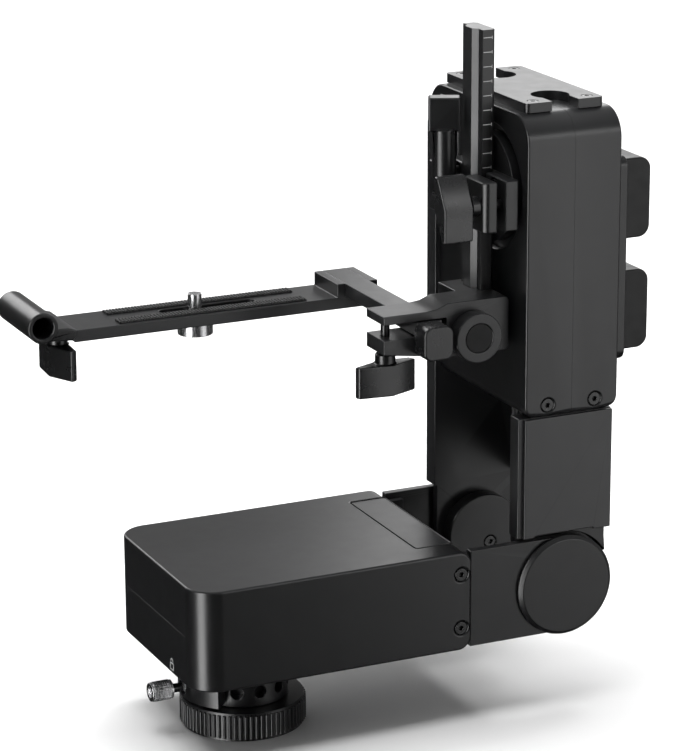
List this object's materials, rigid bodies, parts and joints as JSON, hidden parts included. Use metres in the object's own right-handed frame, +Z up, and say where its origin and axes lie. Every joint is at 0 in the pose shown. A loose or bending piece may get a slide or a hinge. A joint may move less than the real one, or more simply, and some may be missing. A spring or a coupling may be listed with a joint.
{
  "type": "folding motorised pan and tilt head",
  "caption": "L-shaped motorised pan and tilt head: a slim box for each turn, joined by a fold hinge, with a ruler rail, clamps and a camera platform.",
  "frame": {"origin": "centre of the mouth of the tripod thread, on the pan axis, at the base's underside", "axes": "+Z up along the pan axis, +X along the pan box towards the fold hinge and the upright arm, -Y the side the lens looks to"},
  "size_m": [0.2736, 0.1197, 0.308],
  "materials": {
    "cover_black": "satin black anodised",
    "frame_black": "fine matt black anodised",
    "knob_black": "satin black anodised",
    "screw_black": "black oxide steel",
    "steel": "turned stainless steel",
    "brass": "machined brass",
    "gearbox_grey": "bare aluminium",
    "board_green": "printed circuit board",
    "battery_black": "fine grained moulded plastic",
    "button_black": "matt moulded plastic",
    "sleeve_black": "braided sleeve",
    "pad_rubber": "ribbed rubber"
  },
  "bodies": {
    "base": {"base_hub": "frame_black", "thread_insert": "steel", "pan_ring_gear": "brass"},
    "locking_ring": {"locking_ring": "frame_black"},
    "pan": {"pan_bearing": "steel", "pan_floor": "cover_black", "pan_cover": "cover_black", "pan_hatch": "frame_black", "pan_chassis": "frame_black", "pan_cover_screws": "screw_black", "pan_motor": "steel", "pan_board": "board_green", "lock_housing": "frame_black", "lock_spring": "steel", "hinge_bushes": "brass"},
    "pan_drive": {"pan_pinion": "brass"},
    "lock": {"lock_pin": "steel"},
    "power": {"power_button": "button_black"},
    "arm": {"hinge_pins": "steel", "hinge_cap_front": "frame_black", "hinge_cap_rear": "frame_black", "arm_frame": "frame_black", "arm_plate": "cover_black", "fold_flanges": "frame_black", "flange_screws": "screw_black", "cable_sleeve": "sleeve_black", "head_cover_inner": "cover_black", "head_cover_outer": "cover_black", "head_cover_screws": "screw_black", "accessory_plate": "frame_black", "accessory_screws": "screw_black", "battery_plate": "frame_black", "gearbox_plate": "gearbox_grey", "tilt_motor": "steel", "tilt_bearing": "steel", "head_board": "board_green"},
    "upper_battery": {"battery_upper": "battery_black"},
    "lower_battery": {"battery_lower": "battery_black"},
    "tilt_drive": {"tilt_pinion": "brass"},
    "tilt": {"tilt_rotor": "frame_black", "tilt_gear": "brass", "clamp_base": "frame_black", "clamp_jaw": "frame_black", "clamp_screws": "screw_black"},
    "clamp_knob": {"clamp_knob": "knob_black"},
    "rail": {"ruler_rail": "frame_black", "elbow_block": "frame_black"},
    "ring_knob": {"ring_knob": "frame_black", "ring_knob_button": "button_black"},
    "rail_lock": {"rail_lock_knob": "knob_black"},
    "platform": {"fore_aft_rail": "frame_black", "end_stop": "knob_black", "camera_plate": "frame_black", "plate_pads": "pad_rubber", "left_clamp": "frame_black"},
    "camera_screw": {"camera_screw": "steel"},
    "left_knob": {"left_clamp_knob": "knob_black"}
  },
  "joints": [
    {"name": "pan_turn", "type": "hinge", "parent": "base", "child": "pan", "pos_m": [0, 0, 0.04], "axis": [0, 0, 1], "continuous": true},
    {"name": "ring_turn", "type": "hinge", "parent": "base", "child": "locking_ring", "pos_m": [0, 0, 0.006], "axis": [0, 0, 1], "range_deg": [-180, 180]},
    {"name": "pan_pinion_spin", "type": "hinge", "parent": "pan", "child": "pan_drive", "pos_m": [0.0405, 0, 0.049], "axis": [0, 0, 1], "continuous": true},
    {"name": "lock_push", "type": "slide", "parent": "pan", "child": "lock", "axis": [1, 0, 0], "range_m": [0, 0.004]},
    {"name": "power_press", "type": "slide", "parent": "pan", "child": "power", "axis": [0, -1, 0], "range_m": [0, 0.0006], "stiffness_N_per_m": 800, "springref_m": -0.0005},
    {"name": "fold", "type": "hinge", "parent": "pan", "child": "arm", "pos_m": [0.1373, 0, 0.058], "axis": [0, 1, 0], "range_deg": [0, 90]},
    {"name": "upper_battery_pull", "type": "slide", "parent": "arm", "child": "upper_battery", "axis": [1, 0, 0], "range_m": [0, 0.025]},
    {"name": "lower_battery_pull", "type": "slide", "parent": "arm", "child": "lower_battery", "axis": [1, 0, 0], "range_m": [0, 0.025]},
    {"name": "tilt_turn", "type": "hinge", "parent": "arm", "child": "tilt", "pos_m": [0.116, -0.014, 0.237], "axis": [1, 0, 0], "continuous": true},
    {"name": "tilt_pinion_spin", "type": "hinge", "parent": "arm", "child": "tilt_drive", "pos_m": [0.125, -0.014, 0.1946], "axis": [1, 0, 0], "continuous": true},
    {"name": "clamp_knob_turn", "type": "hinge", "parent": "tilt", "child": "clamp_knob", "pos_m": [0.086, -0.037, 0.2342], "axis": [1, 0, 0], "range_deg": [-180, 180]},
    {"name": "rail_slide", "type": "slide", "parent": "tilt", "child": "rail", "axis": [0, 0, 1], "range_m": [-0.055, 0.025]},
    {"name": "ring_knob_turn", "type": "hinge", "parent": "rail", "child": "ring_knob", "pos_m": [0.0955, -0.04, 0.177], "axis": [0, 1, 0], "range_deg": [-180, 180]},
    {"name": "rail_lock_turn", "type": "hinge", "parent": "rail", "child": "rail_lock", "pos_m": [0.0577, -0.028, 0.16], "axis": [0, 0, 1], "range_deg": [-180, 180]},
    {"name": "platform_slide", "type": "slide", "parent": "rail", "child": "platform", "axis": [0, 1, 0], "range_m": [-0.03, 0]},
    {"name": "camera_screw_turn", "type": "hinge", "parent": "platform", "child": "camera_screw", "pos_m": [0, 0.049, 0.17], "axis": [0, 0, 1], "range_deg": [-180, 180]},
    {"name": "left_knob_turn", "type": "hinge", "parent": "platform", "child": "left_knob", "pos_m": [-0.0665, 0.046, 0.16], "axis": [0, 0, 1], "range_deg": [-180, 180]}
  ],
  "couplings": [
    {"joint": "pan_pinion_spin", "follows": "pan_turn", "ratio": 1.5},
    {"joint": "tilt_pinion_spin", "follows": "tilt_turn", "ratio": -1.8}
  ]
}
